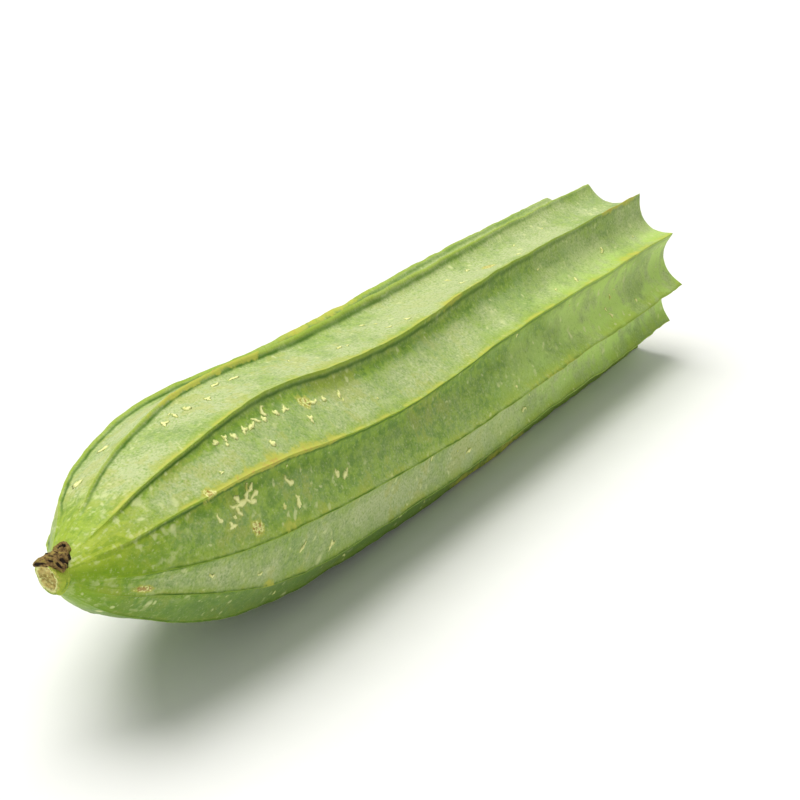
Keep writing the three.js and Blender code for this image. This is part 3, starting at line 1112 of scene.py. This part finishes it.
def scar_tree(scars, material):
    """Scatters scars over the skin, adds the placed ones, and drapes them all on it."""
    inputs = {
        "Skin": "NodeSocketObject",
        "Patterns": "NodeSocketCollection",
        "Density": "NodeSocketFloat",
        "Smallest": "NodeSocketFloat",
        "Largest": "NodeSocketFloat",
        "Seed": "NodeSocketInt",
    }
    t = GeometryTree("ridge_gourd_scars", inputs)
    skin_shape = t.add("GeometryNodeObjectInfo", None, {"Object": t["Skin"]}, output="Geometry")
    across, share = t.attribute("across"), t.attribute("share")
    clear = across.rise(1.2 * MM, 2.6 * MM) * share.rise(0.06, 0.12) * share.fall(0.95, 0.99)
    patchy = t.noise(t.add("GeometryNodeInputPosition"), 45.0, 2.0).rise(0.42, 0.62)
    settings = {"distribute_method": "RANDOM"}
    sockets = {
        "Mesh": skin_shape,
        "Density": t["Density"] * clear * (0.25 + patchy * 1.5),
        "Seed": t["Seed"],
    }
    strewn = t.add("GeometryNodeDistributePointsOnFaces", settings, sockets)

    def chance(low, high, offset):
        sockets = {2: low, 3: high, "Seed": t["Seed"] + offset}
        return t.add("FunctionNodeRandomValue", {"data_type": "FLOAT"}, sockets, output=1)

    strewn = t.stored(strewn, "kind", chance(0.0, STREWN_KINDS, 1))
    skew = chance(0.0, 1.0, 2)
    strewn = t.stored(strewn, "size", t["Smallest"] + (t["Largest"] - t["Smallest"]) * skew * skew)
    strewn = t.stored(strewn, "spin", chance(0.0, 2 * math.pi, 3))
    placed = t.add("GeometryNodeMeshToPoints", None, {"Mesh": t["Geometry"]})
    points = t.tree.nodes.new("GeometryNodeJoinGeometry")
    t.tree.links.new(strewn.socket, points.inputs[0])
    t.tree.links.new(placed.socket, points.inputs[0])
    points = Wire(t, points.outputs[0])

    def nearest_normal():
        settings = {"data_type": "FLOAT_VECTOR"}
        sockets = {"Mesh": skin_shape, "Value": t.add("GeometryNodeInputNormal")}
        return t.add("GeometryNodeSampleNearestSurface", settings, sockets)

    facing = t.add("FunctionNodeAlignRotationToVector", {"axis": "Z"}, {"Vector": nearest_normal()})
    spin = t.add("FunctionNodeEulerToRotation", None, {0: t.vector(0.0, 0.0, t.attribute("spin"))})
    sockets = {0: facing, 1: spin}
    turned = t.add("FunctionNodeRotateRotation", {"rotation_space": "LOCAL"}, sockets)
    sockets = {"Collection": t["Patterns"], "Separate Children": True, "Reset Children": True}
    choice = t.add("GeometryNodeCollectionInfo", None, sockets)
    size = t.attribute("size")
    sockets = {
        "Points": points,
        "Instance": choice,
        "Pick Instance": True,
        "Instance Index": t.math("FLOOR", t.attribute("kind")),
        "Rotation": turned,
        "Scale": t.vector(size, size, size),
    }
    laid = t.add("GeometryNodeInstanceOnPoints", None, sockets)
    laid = t.add("GeometryNodeRealizeInstances", None, {"Geometry": laid})
    touch = t.add("GeometryNodeProximity", {"target_element": "FACES"}, {0: skin_shape})
    height = t.attribute("height")
    draped = touch + nearest_normal() * height
    laid = t.add("GeometryNodeSetPosition", None, {"Geometry": laid, "Position": draped})
    laid = t.stored(laid, "raised", height / scars.height)
    smooth = t.add("GeometryNodeSetShadeSmooth", None, {"Geometry": laid})
    t.finished(smooth, [(material, None)])
    return t


def make_scars(scars, colours, skin):
    scar_list = [(ridge, *scar) for ridge, group in PLACED_SCARS.items() for scar in group]
    ridges, shares, parts, kinds, sizes, spins = zip(*scar_list)
    mesh = bpy.data.meshes.new("scar_places")
    mesh.from_pydata([skin_place(skin.data, *place) for place in zip(shares, ridges, parts)], [], [])
    store(mesh, "kind", kinds)
    store(mesh, "size", sizes)
    store(mesh, "spin", [math.radians(spin) for spin in spins])
    piece = new_piece("scars", mesh)
    patterns = scar_patterns(scars)
    bpy.context.scene.collection.children.link(patterns)
    tree = scar_tree(scars, scar_material(colours))
    values = {
        "Skin": skin,
        "Patterns": patterns,
        "Density": scars.density,
        "Smallest": scars.smallest,
        "Largest": scars.largest,
        "Seed": scars.seed,
    }
    grow(piece, tree, values)
    for pattern in list(patterns.objects):
        bpy.data.objects.remove(pattern)
    bpy.data.collections.remove(patterns)
    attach(piece, BODY)


class Seat:
    """Where the stub sits: its middle, and the directions along, across and above."""

    def __init__(self, skin):
        sides = len(RIDGES) * STEPS_PER_HOLLOW
        ring = [skin.data.vertices[i].co for i in range(sides)]
        self.middle = sum(ring, Vector()) / sides
        first = ring[0] - self.middle
        self.along = (ring[sides // 4] - self.middle).cross(first).normalized()
        if self.along.x < 0:
            self.along.negate()
        self.across = Vector((0, 0, 1)).cross(self.along).normalized()
        self.above = self.along.cross(self.across)

    def outward(self, turn):
        angle = math.radians(turn)
        return self.above * math.cos(angle) - self.across * math.sin(angle)


def tube_faces(rings, sides):
    faces = []
    for i in range(rings - 1):
        for j in range(sides):
            a, b = i * sides + j, i * sides + (j + 1) % sides
            faces.append((a, a + sides, b + sides, b))
    return faces


STUB_SIDES = 96
STUB_RINGS = 44
STUB_CUT_RINGS = 20
STUB_SUNK = 0.8 * MM
STUB_LOBES = 5
STUB_LOBE_HEIGHT = 0.12 * MM
STUB_LUMP_HEIGHT = 0.5 * MM
STUB_FIBRE_HEIGHT = 0.1 * MM
STUB_CUT_GRAIN = 0.28 * MM
STUB_CUT_DISH = 0.35 * MM
STUB_CUT_EDGE = 0.985


def make_stub(stub, colours, seat):
    """The stub: its side from the seat out, and its slanting, slightly dished cut."""
    vertices, face, rim, along, ring = [], [], [], [], []
    slope = math.tan(math.radians(stub.slant))
    rings = STUB_RINGS + STUB_CUT_RINGS
    for i in range(rings):
        share = min(i / STUB_RINGS, 1.0)
        inset = 1.0 - max(i - STUB_RINGS, 0) / STUB_CUT_RINGS
        for j in range(STUB_SIDES):
            turn = FULL_TURN * j / STUB_SIDES
            out = seat.outward(turn)
            probe = out * 0.9 + seat.along * share * 1.6
            radius = stub.radius + stub.flare * (1 - share) ** 2
            radius += STUB_LOBE_HEIGHT * math.cos(math.radians(STUB_LOBES * turn))
            radius += STUB_LUMP_HEIGHT * (noise.fractal(probe * 1.7, 0.6, 2.0, 3) * 0.6)
            radius += STUB_FIBRE_HEIGHT * noise.noise(Vector((out.y * 9, out.z * 9, share * 2)))
            slant = math.cos(math.radians(turn - stub.slant_turn)) * slope
            reach = share * (stub.length - radius * inset * slant) - STUB_SUNK * (1 - share)
            if i > STUB_RINGS:
                flat = out * radius * inset / MM
                reach += STUB_CUT_GRAIN * (noise.fractal(flat * 1.5, 0.7, 2.0, 4) - 0.2)
                reach -= STUB_CUT_DISH * smooth_step((0.86 - inset) / 0.2)
            drawn_in = radius * inset * (STUB_CUT_EDGE if i == STUB_RINGS else 1.0)
            vertices.append(seat.middle + out * drawn_in - seat.along * reach)
            face.append(1.0 if i > STUB_RINGS else 0.0)
            rim.append(inset)
            along.append(share)
            ring += [out.y, out.z, share]
    faces = [tuple(reversed(f)) for f in tube_faces(rings, STUB_SIDES)]
    base, tip = len(vertices), len(vertices) + 1
    last = (rings - 1) * STUB_SIDES
    vertices.append(seat.middle + seat.along * STUB_SUNK)
    vertices.append(sum(vertices[last:base], Vector()) / STUB_SIDES)
    for j in range(STUB_SIDES):
        k = (j + 1) % STUB_SIDES
        faces.append((base, j, k))
        faces.append((tip, last + k, last + j))
    mesh = bpy.data.meshes.new("stem_stub_wood")
    mesh.from_pydata(vertices, [], faces)
    store(mesh, "face", face + [0.0, 1.0])
    store(mesh, "rim", rim + [0.0, 0.0])
    store(mesh, "along", along + [0.0, 1.0])
    store(mesh, "ring", ring + [0.0, 0.0, 0.0, 0.0, 0.0, 1.0], "FLOAT_VECTOR")
    finish_mesh(mesh, stub_material(colours))
    piece = new_piece("stem_stub_wood", mesh)
    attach(piece, BODY)
    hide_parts("stem_stub")


def finish_mesh(mesh, material):
    """Outward faces, smooth shading and one material."""
    work = bmesh.new()
    work.from_mesh(mesh)
    bmesh.ops.recalc_face_normals(work, faces=work.faces)
    work.to_mesh(mesh)
    work.free()
    mesh.shade_smooth()
    mesh.materials.append(material)


SCRAP_SIDES = 36
SCRAP_RINGS = 64
# The scrap's rows from the stub's cut up onto the dome: distance back from the seat and
# out from the stub's middle line in millimetres, and the turns of its two edges.
SCRAP_ROWS = (
    (3.7, 3.5, -52, 22),
    (2.4, 3.8, -46, 40),
    (0.8, 4.1, -40, 62),
    (-0.9, 4.6, -44, 46),
    (-2.6, 5.2, -46, 22),
    (-4.0, 6.0, -38, 4),
    (-5.2, 6.4, -26, -14),
)


# All in millimetres: how far either side of the seat the scrap eases from the stub onto the
# skin, how high and rough it is, how deep its pits are, and how far it reaches below.
SCRAP_EASE = 0.4
SCRAP_HEIGHT = 1.15
SCRAP_ROUGHNESS = 0.55
SCRAP_PIT_DEPTH = 0.5
SCRAP_UNDERSIDE = 0.8
SCRAP_SUNK = 0.1


def bend(stops, share):
    """A smooth curve through stops, by the Catmull-Rom rule."""
    place = share * (len(stops) - 1)
    i = min(int(place), len(stops) - 2)
    f = place - i
    p = [stops[max(min(i + k, len(stops) - 1), 0)] for k in (-1, 0, 1, 2)]
    result = []
    for a, b, c, d in zip(*p):
        slope = 0.5 * (c - a) * f + (a - 2.5 * b + 2 * c - 0.5 * d) * f * f
        result.append(b + slope + (1.5 * b - 0.5 * a - 1.5 * c + 0.5 * d) * f**3)
    return result


def make_scrap(colours, seat, gourd):
    """A crust of dried flower base: lumpy on top, pitted, and pressed onto what it lies on."""
    vertices, lumps, pits = [], [], []
    for i in range(SCRAP_RINGS + 1):
        share = i / SCRAP_RINGS
        back, out, first, last = bend(SCRAP_ROWS, share)
        full = math.sin(math.pi * (0.02 + 0.96 * share)) ** 0.4
        for j in range(SCRAP_SIDES):
            angle = 2 * math.pi * j / SCRAP_SIDES
            lean = 0.5 - 0.5 * math.cos(angle)
            probe = Vector((math.cos(angle) * 1.3, math.sin(angle), share * 6))
            rough = noise.fractal(probe * 1.5, 0.7, 2.2, 4)
            edge = 9 * noise.noise(Vector((share * 9, round(lean), 3))) * (lean - 0.5) * 2
            turn = first + (last - first) * lean + edge
            spot = seat.middle + seat.outward(turn) * out * MM - seat.along * back * MM
            away = (seat.outward(turn) - seat.along * 0.3).normalized()
            if back < SCRAP_EASE:
                _, near, away, _ = gourd.closest_point_on_mesh(spot)
                eased = (back + SCRAP_EASE) / (2 * SCRAP_EASE)
                spot = near if back < -SCRAP_EASE else near.lerp(spot, eased)
            pit = min(max(noise.noise(probe * 1.9 + Vector((4, 1, 7))) - 0.12, 0.0) * 3.0, 1.0)
            crust = SCRAP_HEIGHT + SCRAP_ROUGHNESS * rough - SCRAP_PIT_DEPTH * pit
            top = max(math.sin(angle), 0.0) ** 0.5 * crust * full
            sunk = min(math.sin(angle), 0.0) * SCRAP_UNDERSIDE - SCRAP_SUNK
            vertices.append(spot + away * (top + sunk) * MM)
            lumps.append(0.5 + rough)
            pits.append(pit)
    faces = tube_faces(SCRAP_RINGS + 1, SCRAP_SIDES)
    for start in (0, SCRAP_RINGS * SCRAP_SIDES):
        faces.append(tuple(range(start, start + SCRAP_SIDES)))
    mesh = bpy.data.meshes.new("dried_scrap")
    mesh.from_pydata(vertices, [], faces)
    store(mesh, "lump", lumps)
    store(mesh, "pits", pits)
    finish_mesh(mesh, crust_material(colours))
    piece = new_piece("dried_scrap", mesh)
    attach(piece, BODY)
    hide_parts("withered_calyx")


# ---- Stage ----

FLOOR_SIZE = 12.0


def area_light(name, power, size, place, target, colour):
    lamp = bpy.data.lights.new(name, "AREA")
    lamp.energy = power
    lamp.shape = "DISK"
    lamp.size = size
    lamp.color = colour
    light = bpy.data.objects.new(name, lamp)
    light.location = place
    light.rotation_euler = (Vector(target) - Vector(place)).to_track_quat("-Z", "Y").to_euler()
    bpy.context.scene.collection.objects.link(light)


def make_stage(stage):
    scene = bpy.context.scene
    half = FLOOR_SIZE / 2
    mesh = bpy.data.meshes.new("floor")
    corners = [(-half, -half, 0), (half, -half, 0), (half, half, 0), (-half, half, 0)]
    mesh.from_pydata(corners, [], [(0, 1, 2, 3)])
    mesh.materials.append(floor_material(stage.floor))
    new_piece("floor", mesh)

    world = bpy.data.worlds.new("room")
    scene.world = world
    world.use_nodes = True
    background = world.node_tree.nodes["Background"]
    background.inputs["Color"].default_value = (1.0, 1.0, 1.0, 1.0)
    background.inputs["Strength"].default_value = stage.sky
    area_light("key", stage.key, 1.6, (-0.1, 0.45, 1.7), (0, 0, 0), (1.0, 0.99, 0.96))
    area_light("fill", stage.fill, 1.2, (-1.1, -0.9, 0.6), (0, 0, 0.03), (0.97, 0.99, 1.0))
    area_light("back", stage.back, 1.0, (1.3, 0.1, 0.5), (0.1, 0, 0.03), (1.0, 0.99, 0.97))
    scene.view_settings.view_transform = "Standard"

    azimuth, elevation = math.radians(stage.azimuth), math.radians(stage.elevation)
    level = math.cos(elevation)
    back = Vector((math.sin(azimuth) * level, -math.cos(azimuth) * level, math.sin(elevation)))
    aim = Vector((stage.aim_along, stage.aim_side, stage.aim_height))
    lens = bpy.data.cameras.new("camera")
    lens.lens = stage.lens
    camera = bpy.data.objects.new("camera", lens)
    camera.location = aim + back * stage.distance
    camera.rotation_euler = (-back).to_track_quat("-Z", "Y").to_euler()
    scene.collection.objects.link(camera)
    scene.camera = camera


# ---- Add-on classes ----


class GOURD_OT_stage(bpy.types.Operator):
    """Sets the floor, the lights and the camera"""

    bl_idname = "ridge_gourd.stage"
    bl_label = "Set the Stage"

    def execute(self, context):
        make_stage(context.scene.gourd_stage)
        return {"FINISHED"}


class GOURD_OT_body(bpy.types.Operator):
    """Grows the body with its ridges and its cut face"""

    bl_idname = "ridge_gourd.body"
    bl_label = "Grow the Body"

    def execute(self, context):
        make_body(context.scene.gourd_shape, context.scene.gourd_colours)
        return {"FINISHED"}


class GOURD_OT_scars(bpy.types.Operator):
    """Scatters the raised scars over the skin"""

    bl_idname = "ridge_gourd.scars"
    bl_label = "Scatter the Scars"

    def execute(self, context):
        skin = bpy.data.objects["gourd"]
        make_scars(context.scene.gourd_scars, context.scene.gourd_colours, skin)
        return {"FINISHED"}


class GOURD_OT_stub(bpy.types.Operator):
    """Adds the stub of the stem"""

    bl_idname = "ridge_gourd.stub"
    bl_label = "Add the Stub"

    def execute(self, context):
        seat = Seat(bpy.data.objects["gourd"])
        make_stub(context.scene.gourd_stub, context.scene.gourd_colours, seat)
        return {"FINISHED"}


class GOURD_OT_scrap(bpy.types.Operator):
    """Adds the dried scrap beside the stub"""

    bl_idname = "ridge_gourd.scrap"
    bl_label = "Add the Dried Scrap"

    def execute(self, context):
        gourd = bpy.data.objects["gourd"]
        make_scrap(context.scene.gourd_colours, Seat(gourd), gourd)
        return {"FINISHED"}


OPERATORS = (GOURD_OT_stage, GOURD_OT_body, GOURD_OT_scars, GOURD_OT_stub, GOURD_OT_scrap)


class GOURD_PT_panel(bpy.types.Panel):
    """Lists the gourd's sizes, colours and operators"""

    bl_idname = "GOURD_PT_panel"
    bl_label = "Ridge Gourd"
    bl_space_type = "VIEW_3D"
    bl_region_type = "UI"
    bl_category = "Ridge Gourd"

    def draw(self, context):
        for step in OPERATORS:
            self.layout.operator(step.bl_idname)
        for name in GROUPS:
            box = self.layout.box()
            box.label(text=name.replace("_", " ").capitalize())
            group = getattr(context.scene, name)
            for field in group.bl_rna.properties:
                if field.identifier not in {"rna_type", "name"}:
                    box.prop(group, field.identifier)


def register():
    for group in GROUPS.values():
        bpy.utils.register_class(group)
    for name, group in GROUPS.items():
        setattr(bpy.types.Scene, name, PointerProperty(type=group))
    for cls in (*OPERATORS, GOURD_PT_panel):
        bpy.utils.register_class(cls)


def unregister():
    for cls in reversed((*OPERATORS, GOURD_PT_panel)):
        bpy.utils.unregister_class(cls)
    for name in GROUPS:
        delattr(bpy.types.Scene, name)
    for group in reversed(tuple(GROUPS.values())):
        bpy.utils.unregister_class(group)


def main():
    register()
    bpy.ops.ridge_gourd.stage()
    bpy.ops.ridge_gourd.body()
    bpy.ops.ridge_gourd.scars()
    bpy.ops.ridge_gourd.stub()
    bpy.ops.ridge_gourd.scrap()


if __name__ == "__main__":
    main()
